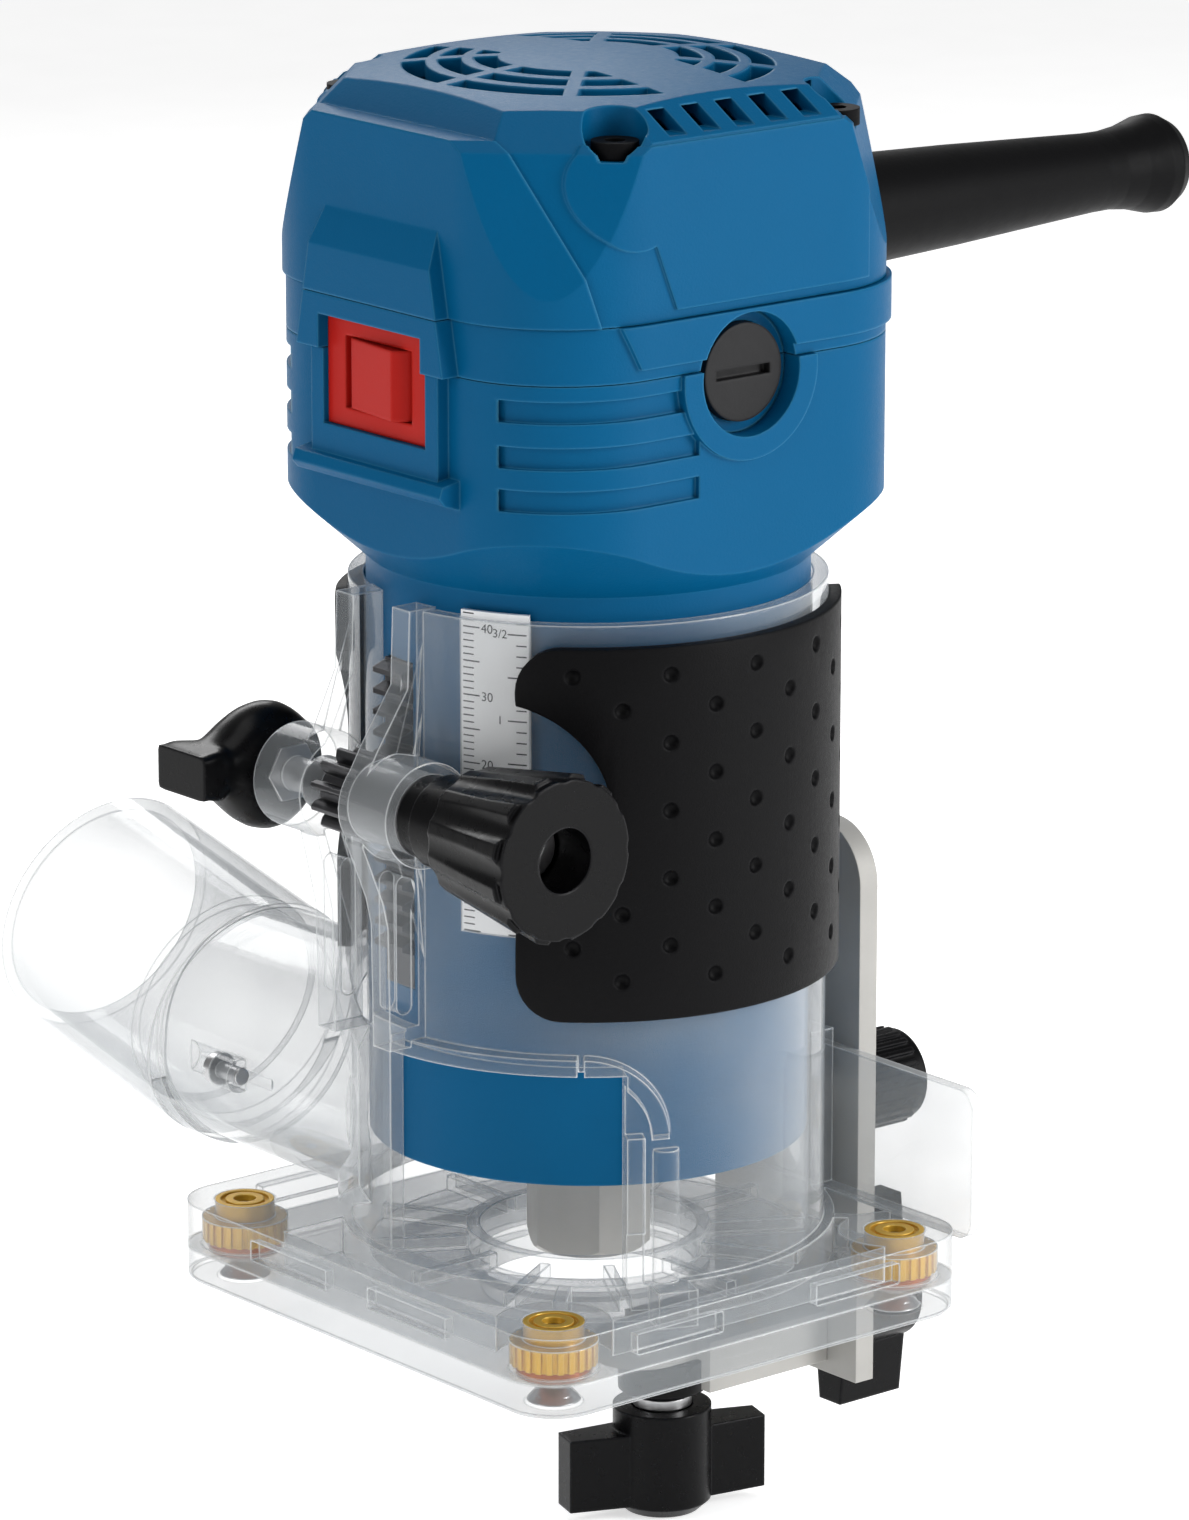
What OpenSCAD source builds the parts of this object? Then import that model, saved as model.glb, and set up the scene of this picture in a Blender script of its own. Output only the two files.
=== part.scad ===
// Compact laminate trimmer: a motor that slides in a clear clamp base with a
// rack and pinion, a chip duct, and a roller guide hung on the side.
// Millimetres. The sole is z = 0, the spindle is the Z axis, the switch faces -X.

/* [Motor] */
// Radius of the motor barrel that slides in the base
barrel_r = 32.5; // [30:0.5:40]
// Lower end of the barrel above the sole
barrel_bottom = 26; // [22:1:34]
// Reach of the housing behind the switch
housing_back = 37.5; // [34:0.5:42]
// Reach of the housing on the cord side
housing_front = 36.5; // [34:0.5:42]
// Half width of the housing across the brush caps
housing_half_y = 35.5; // [32:0.5:40]
// Corner radius of the housing
housing_corner = 19; // [12:1:24]
// Top of the cap
housing_top = 186; // [176:1:196]
// Shank radius the collet holds
shank_r = 3; // [3:0.5:4]

/* [Base] */
// Thickness of the replaceable sole plate
sole_t = 5; // [3:0.5:7]
// Thickness of the moulded flange above it
flange_t = 7; // [5:0.5:9]
// Half width of the base
base_half_y = 45; // [40:1:50]
// Base edge on the clamp side
base_back = 45; // [40:1:50]
// Base edge on the guide side
base_front = 37; // [34:1:44]
// Radius of the hole for a guide bush
bush_r = 15.9; // [12:0.1:18]
// Outer radius of the clear sleeve
sleeve_r = 35.1; // [34:0.1:38]
// Top of the sleeve
sleeve_top = 110; // [100:1:116]

/* [Depth drive] */
// Distance of the pinion behind the spindle
pinion_x = 39.5; // [39:0.5:42]
// Height of the pinion
pinion_z = 82; // [76:1:90]
// Pinion teeth
pinion_teeth = 11; // [11:1:13]
// Rim radius of the depth knob
knob_r = 12.3; // [10:0.1:15]

/* [Dust hood] */
// Inner radius of the hose socket
hose_r = 17.5; // [15:0.5:20]
// Upward tilt of the hose socket in degrees
hose_tilt = 13; // [0:1:25]

/* [Roller guide] */
// Height of the clamp screw of the upright plate
guide_screw_z = 21; // [18:1:26]
// Radius of the guide roller
roller_r = 6.7; // [5:0.1:9]

/* [Hidden] */
$fn = 96;
module_mm = 1;
pitch_r = pinion_teeth * module_mm / 2;
rack_x = -pinion_x + pitch_r;
bore_r = barrel_r + 0.3;
flange_top = sole_t + flange_t;
seam_low = 146.5;
seam_high = 154.6;
shell = 2.6;
brush_z = 145;
corner_x = [-36.6, 28.6];
corner_y = [-36.5, 36.5];
cap_x = [-20, 21];
cap_y = [-30, 30];
hood_x = -18;
hood_z = 31.2;
hood_bend = 59;
hood_len = 38.8;
arm_z = -13.5;
roller_x = 14.5;
cord_z = 157;
bevel_z = 180;
cap_front_z = 175;

// ---- shared shapes ----
module rounded(x0, x1, hy, r) {
  translate([x0 + r, -hy + r]) square([x1 - x0 - 2 * r, 2 * hy - 2 * r]);
  translate([x0 + r, -hy]) square([x1 - x0 - 2 * r, 2 * hy]);
  translate([x0, -hy + r]) square([x1 - x0, 2 * hy - 2 * r]);
  for (x = [x0 + r, x1 - r], y = [-hy + r, hy - r]) translate([x, y]) circle(r);
}

module slab(x0, x1, hy, r, z0, z1) {
  translate([0, 0, z0]) linear_extrude(z1 - z0) rounded(x0, x1, hy, r);
}

module along_y(r, y0, y1) { translate([0, y0, 0]) rotate([-90, 0, 0]) cylinder(r = r, h = y1 - y0); }
module along_x(r, x0, x1) { translate([x0, 0, 0]) rotate([0, 90, 0]) cylinder(r = r, h = x1 - x0); }
module upright(r, z0, z1) { translate([0, 0, z0]) cylinder(r = r, h = z1 - z0); }
module box(x0, x1, y0, y1, z0, z1) { translate([x0, y0, z0]) cube([x1 - x0, y1 - y0, z1 - z0]); }

module pie(a0, a1, z0, z1, r = 60) {
  m = (a0 + a1) / 2;
  translate([0, 0, z0]) linear_extrude(z1 - z0)
    polygon([[0, 0], [r * cos(a0), r * sin(a0)], [1.3 * r * cos(m), 1.3 * r * sin(m)],
      [r * cos(a1), r * sin(a1)]]);
}

module ring_part(ri, ro, a0, a1, z0, z1) {
  rotate([0, 0, a0]) rotate_extrude(angle = a1 - a0) translate([ri, z0]) square([ro - ri, z1 - z0]);
}

module at_corners() { for (x = corner_x, y = corner_y) translate([x, y, 0]) children(); }
module at_cap_screws() { for (x = cap_x, y = cap_y) translate([x, y, 0]) children(); }
module at_pinion() { translate([-pinion_x, 0, pinion_z]) children(); }

// ---- clear base ----
module ear(y0, y1, boss0, boss1, reach, low) {
  top = sleeve_top + 0.35;
  translate([0, y1, 0]) rotate([90, 0, 0]) linear_extrude(y1 - y0)
    polygon([[-30, top], [-37.2, top], [-37.6, 99], [-reach + 3, 91], [-reach, 86], [-reach, 77],
      [-42.4, 68], [-41.5, 64], [-41.2, low], [-30, low]]);
  at_pinion() along_y(7.8, boss0, boss1);
}

module ear_rib(y, lean, a) {
  translate([-pinion_x, y, pinion_z]) rotate([0, 0, lean]) rotate([0, a, 0]) box(-1.2, 1.2, -1.4, 1.4, 6, 26);
}

module hood_tube(r, from_y) {
  translate([hood_x, 0, hood_z]) along_y(r, from_y, hood_bend);
}

module hood_socket(r, len) {
  translate([hood_x, hood_bend, hood_z]) rotate([hose_tilt, 0, 0]) along_y(r, 0, len);
}

module base_sleeve() {
  color([0.9, 0.93, 0.95, 0.35]) difference() {
    union() {
      slab(-base_back, base_front, base_half_y, 8, sole_t + 0.02, flange_top);
      upright(sleeve_r, sole_t + 0.02, sleeve_top);
      // clamp ears with their bosses
      ear(-5, -1, -12, -1, 46, 45.5);
      ear(8, 12, 8, 19, 44.5, 45.5);
      ear_rib(-6.5, 35, 14);
      ear_rib(-6.5, 35, 166);
      ear_rib(13.5, -35, 14);
      ear_rib(13.5, -35, 166);
      // raised rims round the viewing window
      ring_part(sleeve_r - 1, sleeve_r + 2.6, -179, -132, 43.9, 46.5);
      rotate([0, 0, -119]) box(sleeve_r - 1, sleeve_r + 2.4, -1.4, 1.4, flange_top - 1, 34.5);
      intersection() {
        difference() { upright(sleeve_r + 2.6, 33, 48); upright(sleeve_r - 1, 30, 50); }
        rotate([0, 0, -130.5]) translate([0, 0, 34.2]) rotate([0, 90, 0]) difference() {
          cylinder(r = 12.3, h = 60);
          translate([0, 0, -1]) cylinder(r = 9.7, h = 62);
        }
        rotate([0, 0, -130.5]) box(10, 60, 0, 20, 34.2, 60);
      }
      rotate([0, 0, -111]) translate([sleeve_r, 0, flange_top - 1]) cylinder(r = 1.9, h = 21);
      // pad for the side guide
      box(30, base_front, -13, 13, flange_top, 36);
    }
    // motor bore over a ribbed floor with a collar round the cutter opening
    difference() {
      upright(bore_r, 0, 120);
      upright(bore_r + 1, sole_t + 0.02, sole_t + 1.8);
      upright(18.2, sole_t + 0.02, sole_t + 5);
      for (a = [0:30:330]) rotate([0, 0, a]) box(17, 34, -0.8, 0.8, sole_t + 0.02, sole_t + 4);
    }
    upright(16.2, 0, 20);
    // split between the ears
    box(-60, -25, -1, 8, 47, 120);
    // viewing window
    intersection() {
      pie(-185, -121, flange_top, 44);
      difference() { upright(40, flange_top, 44); upright(20, 0, 60); }
    }
    // long slots down both ears
    box(-39.9, -37.3, -6, 14, 52, 70);
    for (z = [52, 70]) translate([-38.6, 0, z]) along_y(1.3, -6, 14);
    // pinion bores
    at_pinion() { along_y(6.05, -14, 0); along_y(4.05, 7, 12.5); along_y(2.6, 10, 22); }
    // chip outlet
    intersection() {
      translate([hood_x + 3, 0, hood_z]) along_y(14.2, 5, 60);
      box(-40, 10, 5, 60, flange_top + 0.5, 50);
    }
    // pocket for the scale
    ring_part(33.1, 33.9, -162.3, -143.7, 63.3, 112);
    // open pockets round the flange, left between radial ribs
    difference() {
      slab(-base_back + 3.2, base_front - 3.2, base_half_y - 3.2, 5, sole_t + 1.6, 20);
      upright(sleeve_r + 1.6, 0, 30);
      at_corners() upright(8.4, 0, 30);
      for (a = [45:90:315]) rotate([0, 0, a]) box(30, 70, -1, 1, 0, 30);
      box(28, 60, -15, 15, 0, 30);
      box(-60, 6, 20, 60, 0, 30);
      rotate([0, 0, -111]) box(30, 41, -3, 3, 0, 30);
    }
    // long recesses in the flange edges
    for (s = [-1, 1]) {
      box(6, 22, s * base_half_y - 1.6, s * base_half_y + 1.6, sole_t + 2.2, sole_t + 5.2);
      box(-28, -12, s * base_half_y - 1.6, s * base_half_y + 1.6, sole_t + 2.2, sole_t + 5.2);
    }
    box(-base_back - 1, -base_back + 1.6, -22, -4, sole_t + 2.2, sole_t + 5.2);
    box(-base_back - 1, -base_back + 1.6, 6, 24, sole_t + 2.2, sole_t + 5.2);
    at_corners() { upright(6.5, 0, 9.4); upright(4.5, 0, 20); }
    // side guide insert and screw
    translate([0, 0, guide_screw_z]) along_x(4.02, 30, 50);
  }
}

module sub_base() {
  color([0.9, 0.93, 0.95, 0.35]) difference() {
    union() {
      slab(-base_back + 0.6, base_front - 0.6, base_half_y - 0.6, 7.4, 0, 0.6);
      slab(-base_back, base_front, base_half_y, 8, 0.6, sole_t);
    }
    upright(bush_r, -1, 10);
    upright(18.2, sole_t - 1.6, 10);
    at_corners() {
      upright(2.2, -1, 10);
      translate([0, 0, -0.01]) cylinder(r1 = 4.3, r2 = 2.2, h = 2.4);
      upright(5.5, sole_t - 0.9, 10);
    }
    // finger grooves seen through the plate
    for (s = [-1, 1]) translate([0, s * 30, 0]) box(-16, 8, -2, 2, sole_t - 2, 10);
  }
}

module corner_nuts() {
  color([0.78, 0.6, 0.24]) at_corners() difference() {
    union() {
      upright(5.9, 5.9, 9.3);
      for (a = [0:15:345]) rotate([0, 0, a]) box(5.6, 6.35, -0.42, 0.42, 5.9, 9.3);
      upright(4.4, 9, flange_top);
    }
    upright(1.7, 0, 20);
    difference() { upright(3.6, 11.5, 20); upright(2.9, 11, 21); }
  }
}

module seal_rings() {
  color([0.72, 0.36, 0.2]) at_corners() difference() { upright(5.4, 4.15, 5.85); upright(3.4, 4, 6); }
}

module base_screws() {
  color([0.6, 0.6, 0.6]) at_corners() difference() {
    union() {
      translate([0, 0, 0.3]) cylinder(r1 = 3.9, r2 = 1.65, h = 2.1);
      upright(1.65, 2.2, 11);
    }
    box(-3, 3, -0.5, 0.5, 0, 1.1);
    box(-0.5, 0.5, -3, 3, 0, 1.1);
  }
}

module grip(s) {
  difference() {
    union() {
      if (s < 0) ring_part(sleeve_r + 0.05, sleeve_r + 1.9, -146, -25, 52, 107);
      else ring_part(sleeve_r + 0.05, sleeve_r + 1.9, 25, 146, 52, 107);
    }
    // rounded notch that clears the clamp hardware
    rotate([0, 0, s * 151]) translate([30, 0, pinion_z]) rotate([0, 90, 0]) cylinder(r = 17, h = 12);
    box(-26, -10, 20, 60, 51, 52.4);
    // dimples
    for (i = [0:9], j = [0:4]) rotate([0, 0, s * (34 + i * 11)])
      translate([sleeve_r + 2.7, 0, 58 + j * 10 + (i % 2) * 5]) sphere(r = 1.5, $fn = 16);
  }
}

module right_grip() { color([0.1, 0.1, 0.11]) grip(-1); }
module left_grip() { color([0.1, 0.1, 0.11]) grip(1); }

module scale_plate() {
  color([0.9, 0.9, 0.91]) ring_part(33.15, 33.85, -162, -144, 63.5, 111);
}

module dust_hood() {
  color([0.9, 0.93, 0.95, 0.35]) difference() {
    union() {
      difference() {
        hood_tube(18.3, 12);
        hood_tube(16.5, 0);
        upright(sleeve_r + 0.05, 0, 80);
      }
      // saddle against the sleeve
      intersection() {
        difference() { upright(sleeve_r + 2.2, 0, 80); upright(sleeve_r + 0.05, 0, 80); }
        translate([hood_x, 0, hood_z]) along_y(21, 8, 60);
        box(-60, 20, 9, 60, flange_top + 0.1, 60);
      }
      // bend ring and hose socket
      difference() {
        union() {
          hood_socket(19.5, hood_len);
          translate([hood_x, hood_bend, hood_z]) rotate([90, 0, 0]) translate([0, 0, -1.5])
            cylinder(r = 19.2, h = 3);
        }
        hood_socket(hose_r, hood_len + 1);
        translate([hood_x, hood_bend - 4, hood_z]) along_y(16.5, -2, 10);
      }
      difference() {
        hood_socket(hose_r + 0.2, 7);
        hood_socket(16, 12);
        hood_tube(16.5, 0);
      }
      for (x = [-37.2, 1.2]) translate([x, 0, hood_z]) along_y(2.6, 36.4, 41);
    }
    hood_tube(16.5, 0);
    upright(sleeve_r + 0.05, 0, 80);
    for (x = [-37.2, 1.2]) translate([x, 0, hood_z]) { along_y(1.3, 30, 50); along_y(2.6, 41, 50); }
    box(-37, -30, 8, 12.2, 45.3, 46.2);
    box(-60, 30, 0, base_half_y + 0.5, 0, flange_top + 0.1);
  }
}

module hood_screws() {
  color([0.6, 0.6, 0.6]) for (x = [-37.2, 1.2]) translate([x, 0, hood_z]) difference() {
    union() { along_y(1.25, 36, 41); along_y(2.4, 41, 42.6); }
    box(-3, 3, 42, 43, -0.35, 0.35);
  }
}

module clamp_bolt() {
  color([0.62, 0.62, 0.6]) at_pinion() difference() {
    union() { along_y(2.5, -33, 27); along_y(4.3, -35.2, -32.4); }
    translate([0, -35.4, 0]) rotate([-90, 0, 0]) cylinder(r = 2.3, h = 1.9, $fn = 6);
  }
}

module guide_insert() {
  color([0.78, 0.6, 0.24]) translate([0, 0, guide_screw_z]) difference() {
    along_x(4, 33.6, base_front);
    along_x(3.06, 30, 40);
  }
}

module chip_shield() {
  color([0.9, 0.93, 0.95, 0.35]) difference() {
    union() {
      box(37.1, 38.9, -41, 8, 10, 33);
      box(37.1, 38.9, -44, 8, 13, 30);
      for (z = [13, 30]) translate([0, -41, z]) along_x(3, 37.1, 38.9);
    }
    translate([0, 0, guide_screw_z]) along_x(3.3, 30, 50);
  }
}

// ---- motor shells ----
module housing_solid(inset, z0, z1) {
  slab(-housing_back + inset, housing_front - inset, housing_half_y - inset, housing_corner - inset, z0, z1);
}

module flare(r, z) { translate([0, 0, z]) cylinder(r1 = r, r2 = r + 14, h = 12.5); }

module brush_recess() {
  for (s = [0, 180]) rotate([0, 0, s]) translate([0, 0, brush_z]) {
    along_y(9, -40, -33);
    along_y(7.2, -40, -26);
  }
}

module switch_opening() {
  box(-50, -37.8, -11.7, 11.7, 135.4, 151.5);
  box(-50, -30, -10.6, 10.6, 136.2, 150.8);
}

module motor_housing() {
  color([0.06, 0.35, 0.57]) difference() {
    union() {
      upright(barrel_r, barrel_bottom, 117);
      intersection() {
        housing_solid(0, 113, 124.8);
        union() { flare(barrel_r, 113.5); upright(60, 124, 126); }
      }
      difference() {
        housing_solid(0, 124.7, seam_low - 0.15);
        // grip grooves wrapped round the switch-side corners
        for (z = [129.8, 136, 142.6], s = [-1, 1]) intersection() {
          difference() {
            housing_solid(-2, z - 1.6, z + 1.6);
            housing_solid(0.9, z - 2, z + 2);
          }
          box(-36, -9, s > 0 ? 12 : -40, s > 0 ? 40 : -12, 110, 160);
        }
      }
      // switch pod and the lip under it
      box(-housing_back - 2, -30, -14.5, 14.5, 131, seam_low - 0.15);
      translate([0, 17, 0]) rotate([90, 0, 0]) linear_extrude(34)
        polygon([[-30, 133], [-40.6, 131], [-41.2, 129.4], [-40.2, 128.2], [-30, 125]]);
      // surround of the brush caps
      for (s = [0, 180]) rotate([0, 0, s]) translate([0, 0, brush_z]) intersection() {
        along_y(12.4, -housing_half_y - 0.8, -30);
        box(-20, 20, -50, -20, -20, seam_low - brush_z - 0.15);
      }
    }
    upright(barrel_r - 3, barrel_bottom + 13, 118);
    upright(13.05, barrel_bottom + 3, 60);
    upright(10, 0, 60);
    intersection() {
      housing_solid(shell, 115, 170);
      union() { flare(barrel_r - 3, 115); upright(60, 127.4, 170); }
    }
    for (s = [0:60:300]) rotate([0, 0, s + 30]) translate([20, 0, 20]) cylinder(r = 3.4, h = 30);
    brush_recess();
    switch_opening();
    // groove that carries the rack
    box(-36, -31, 0.25, 6.75, 52, 101);
  }
}

module housing_band() {
  color([0.06, 0.35, 0.57]) difference() {
    union() {
      housing_solid(0, seam_low, seam_high - 0.15);
      intersection() { box(-40.4, -30, -20, 20, seam_low, seam_high - 0.15); pod_taper(); }
      // raised shoulder on the brush faces
      intersection() {
        housing_solid(-0.8, 148.2, seam_high - 0.15);
        translate([0, 80, 0]) rotate([90, 0, 0]) linear_extrude(160)
          polygon([[-26, 160], [60, 160], [60, 140], [-16, 140]]);
      }
    }
    housing_solid(shell, 140, 160);
    brush_recess();
    switch_opening();
    translate([0, 0, cord_z]) along_x(8.75, 25, 45);
  }
}

module pod_taper() {
  // sides of the switch pod lean in towards the top
  rotate([0, 0, 90]) translate([0, 80, 0]) rotate([90, 0, 0]) linear_extrude(160)
    polygon([[-18, 140], [18, 140], [12.2, 170], [-12.2, 170]]);
}

module side_panel(grow, z0, z1, x_top, x_low) {
  // a raised field that follows the housing's own surface
  intersection() {
    housing_solid(-grow, z0, z1);
    translate([0, 80, 0]) rotate([90, 0, 0]) linear_extrude(160)
      polygon([[-60, z1], [x_top, z1], [x_low, z0], [-60, z0]]);
  }
}

module bar_of(profile) { translate([0, 80, 0]) rotate([90, 0, 0]) linear_extrude(160) polygon(profile); }

module cap_solid(inset) {
  b = housing_back - inset;
  f = housing_front - inset;
  y = housing_half_y - inset;
  c = 43.9 - inset;
  shift = inset * 0.4;
  intersection() {
    housing_solid(inset, seam_high, housing_top - inset);
    // long shoulder over the switch side, steeper one over the cord side
    bar_of([[-b, 150], [f, 150], [f, bevel_z - shift], [f - 34, 200], [-b + 21, 200], [-b, cap_front_z - shift]]);
    rotate([0, 0, 90]) bar_of([[-y, 150], [y, 150], [y, bevel_z - shift], [y - 34, 200], [-y + 34, 200],
      [-y, bevel_z - shift]]);
    // corner facets
    for_corner_bars(c, shift);
    translate([-0.5, 0, -60]) sphere(r = 60 + housing_top - inset, $fn = 180);
  }
}

module for_corner_bars(c, shift) {
  intersection_for (a = [45, 135]) translate([-0.5, 0, 0]) rotate([0, 0, a])
    bar_of([[-c, 150], [c, 150], [c, 157], [c - 5.2, 178.5 - shift], [c - 26, 200], [-c + 26, 200],
      [-c + 5.2, 178.5 - shift], [-c, 157]]);
}

module cap_vents() {
  // two half-ring grilles split by a plain band
  difference() {
    for (r = [13, 18.2, 23.4]) difference() { upright(r + 3.4, 172, 190); upright(r, 170, 191); }
    box(-7.5, 7.5, -40, 40, 160, 200);
    for (a = [0:45:135]) rotate([0, 0, a]) box(-40, 40, -1.1, 1.1, 160, 200);
  }
  // square vents under the cap edge
  for (s = [-1, 1], k = [0:5])
    box(-14 + k * 6.2, -10.8 + k * 6.2, s > 0 ? 24 : -40, s > 0 ? 40 : -24, 180.4, 183.4);
}

module label_field() {
  // blank label panel with a rounded end
  translate([0, 80, 0]) rotate([90, 0, 0]) linear_extrude(160) {
    polygon([[-20, 179.6], [23, 179.6], [23, 156], [-13.5, 156], [-17.5, 166], [-20, 167]]);
    translate([-20.1, 173.2]) intersection() { circle(8.2); translate([-10, -10]) square([20, 16.4]); }
  }
}

module top_cover() {
  color([0.06, 0.35, 0.57]) difference() {
    union() {
      cap_solid(0);
      intersection() {
        side_panel(0.5, seam_high, bevel_z, -33.5, -26);
        for_corner_bars(44.3, 0);
      }
      intersection() { label_field(); housing_solid(-0.5, seam_high, bevel_z); for_corner_bars(44.3, 0); }
      // visor over the switch
      intersection() {
        bar_of([[-30, seam_high], [-40.4, seam_high], [-40.4, 161.5], [-37.2, 168.5], [-30, 169]]);
        pod_taper();
      }
    }
    difference() {
      cap_solid(shell);
      at_cap_screws() upright(6, 150, 190);
    }
    cap_vents();
    at_cap_screws() { upright(4.6, 177.5, 200); upright(1.9, 150, 200); }
    translate([0, 0, cord_z]) along_x(8.75, 25, 45);
  }
}

module cover_screws() {
  color([0.45, 0.45, 0.46]) at_cap_screws() difference() {
    union() { upright(1.8, 156, 178); upright(3.4, 177.6, 180); }
    upright(1.5, 178.8, 182);
  }
}

module rack() {
  p = PI * module_mm;
  half = p / 4 - 0.11;
  color([0.16, 0.16, 0.17]) {
    box(-32.6, -31.05, 0.3, 6.7, 52.2, 100.8);
    translate([0, 6.7, 0]) rotate([90, 0, 0]) linear_extrude(6.4)
      for (k = [-8:5]) translate([rack_x, pinion_z + (k + 0.5) * p])
        polygon([[1.5, half + 0.54], [-0.82, half - 0.3], [-0.82, -half + 0.3], [1.5, -half - 0.54]]);
  }
}

module switch_bezel() {
  color([0.8, 0.14, 0.1]) difference() {
    box(-38.6, -34, -11.6, 11.6, 135.5, 151.4);
    box(-50, -30, -7.6, 7.6, 138.2, 148.8);
    difference() { box(-37.85, -30, -20, 20, 130, 160); box(-60, -20, -10.45, 10.45, 136.35, 150.65); }
  }
}

module switch_module() {
  color([0.1, 0.1, 0.1]) {
    difference() {
      box(-33.9, -18, -10.2, 10.2, 136.5, 150.5);
      box(-35, -30.5, -7.8, 7.8, 138, 149);
    }
    for (y = [-6, 0, 6]) box(-18, -14.2, y - 0.4, y + 0.4, 141, 146);
  }
}

module switch_rocker() {
  color([0.82, 0.16, 0.1]) translate([-34.6, 0, 143.5]) {
    intersection() {
      upright(7.3, -5.1, 5.1);
      box(-8, -0.2, -7.3, 7.3, -5.1, 5.1);
      rotate([0, 0, -7]) box(-4.9, 5, -8, 8, -6, 6);
    }
    upright(1.3, -5.1, 5.1);
  }
}

module cord_sleeve() {
  color([0.08, 0.08, 0.09]) translate([0, 0, cord_z]) rotate([0, 90, 0]) difference() {
    rotate_extrude() polygon([[0, 31.5], [11, 31.5], [11, 33.6], [8.6, 33.6], [8.6, 46], [7.6, 70],
      [6.1, 98], [6.05, 102], [6.5, 106], [7.5, 110], [7.6, 112], [6.6, 114], [0, 114]]);
    translate([0, 0, 30]) cylinder(r = 3.6, h = 90);
  }
}

module cord_clamp() {
  color([0.14, 0.14, 0.15]) difference() {
    box(21, 27, -11, 11, 152.5, 162);
    translate([0, 0, cord_z]) along_x(3.5, 18, 30);
    for (s = [-1, 1]) translate([24, s * 7.5, 0]) upright(1.4, 150, 170);
  }
}

module capacitor() {
  color([0.82, 0.72, 0.2]) box(18, 29, -7.5, 7.5, 130, 146);
}

module bearing_bridge() {
  color([0.12, 0.12, 0.13]) difference() {
    union() {
      upright(14, 155.5, 166);
      box(-6, 6, -32.8, 32.8, 155.5, 159.5);
    }
    upright(11.02, 150, 164.02);
    upright(6, 150, 170);
  }
}

module bearing(ri, ro, z0, z1) {
  difference() {
    upright(ro, z0, z1);
    upright(ri, z0 - 1, z1 + 1);
    difference() { upright(ro - 2, z1 - 0.5, z1 + 1); upright(ri + 2, z1 - 1, z1 + 2); }
    difference() { upright(ro - 2, z0 - 1, z0 + 0.5); upright(ri + 2, z0 - 2, z0 + 1); }
  }
}

module upper_bearing() { color([0.7, 0.7, 0.71]) bearing(4, 11, 157, 164); }
module lower_bearing() { color([0.7, 0.7, 0.71]) bearing(5, 13, barrel_bottom + 3.02, barrel_bottom + 12); }

module stator_core() {
  color([0.5, 0.5, 0.52]) difference() {
    upright(29.45, 60, 108);
    upright(17.6, 50, 120);
    for (a = [45:90:315]) rotate([0, 0, a]) box(17, 24.5, -5, 5, 50, 120);
  }
}

module field_windings() {
  color([0.7, 0.38, 0.16]) {
    for (a = [45:90:315]) rotate([0, 0, a]) box(17.9, 24.4, -4.9, 4.9, 55, 113);
    for (z = [53, 108.4]) ring_part(18.2, 27, -70, 70, z, z + 6);
    for (z = [53, 108.4]) ring_part(18.2, 27, 110, 250, z, z + 6);
  }
}

module brush_pair() { for (s = [0, 180]) rotate([0, 0, s]) translate([0, 0, brush_z]) children(); }

module brush_holders() {
  color([0.78, 0.6, 0.24]) brush_pair() difference() {
    union() { box(-4.6, 4.6, -27, -12.5, -5.6, 5.6); along_y(7, -26.5, -25); }
    box(-3.3, 3.3, -30, -10, -4.3, 4.3);
  }
}

module carbon_brushes() {
  color([0.13, 0.13, 0.14]) brush_pair() difference() {
    box(-3.2, 3.2, -21, -10.8, -4.2, 4.2);
    upright(10.85, -10, 10);
  }
}

module brush_springs() {
  color([0.6, 0.6, 0.62]) brush_pair() for (k = [0:3]) translate([0, -21.7 - k * 1.15, 0])
    rotate([90, 0, 0]) rotate_extrude($fn = 32) translate([2.4, 0]) circle(r = 0.35, $fn = 16);
}

module brush_cap() {
  translate([0, 0, brush_z]) difference() {
    union() { along_y(6.7, -31, -27.1); along_y(7.1, -34.4, -31); }
    box(-5, 5, -36, -33, -0.75, 0.75);
    along_y(4.2, -30, -27);
  }
}

module brush_cap_right() { color([0.09, 0.09, 0.1]) brush_cap(); }
module brush_cap_left() { color([0.09, 0.09, 0.1]) rotate([0, 0, 180]) brush_cap(); }

// ---- armature ----
module spindle() {
  color([0.62, 0.62, 0.63]) difference() {
    union() {
      upright(6.5, 14, 24.6);
      upright(7.6, 24.6, 28.6);
      upright(4.95, 28.6, 60);
      upright(5.4, 42, 152);
      upright(3.95, 152, 165);
    }
    upright(5.1, 10, 22);
    translate([0, 0, 22]) cylinder(r1 = 5.1, r2 = 3.1, h = 2.5);
    upright(3.1, 10, 30);
    for (s = [0, 180]) rotate([0, 0, s]) box(6.6, 9, -9, 9, 24.9, 28.3);
  }
}

module rotor_core() {
  color([0.5, 0.5, 0.52]) difference() {
    upright(17.1, 61, 107);
    upright(5.42, 50, 120);
    for (a = [0:30:330]) rotate([0, 0, a]) box(14.6, 20, -1.1, 1.1, 50, 120);
  }
}

module rotor_windings() {
  color([0.7, 0.38, 0.16]) {
    for (z = [54.5, 107.1]) difference() { upright(14.5, z, z + 6.4); upright(5.45, z - 1, z + 8); }
    for (a = [0:30:330]) rotate([0, 0, a]) box(14.7, 16.6, -1, 1, 61, 107);
  }
}

module commutator() {
  color([0.75, 0.42, 0.2]) difference() {
    upright(10.4, 137, 153);
    upright(5.42, 130, 160);
    for (a = [0:15:345]) rotate([0, 0, a]) box(9.4, 12, -0.3, 0.3, 139, 154);
  }
}

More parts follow.
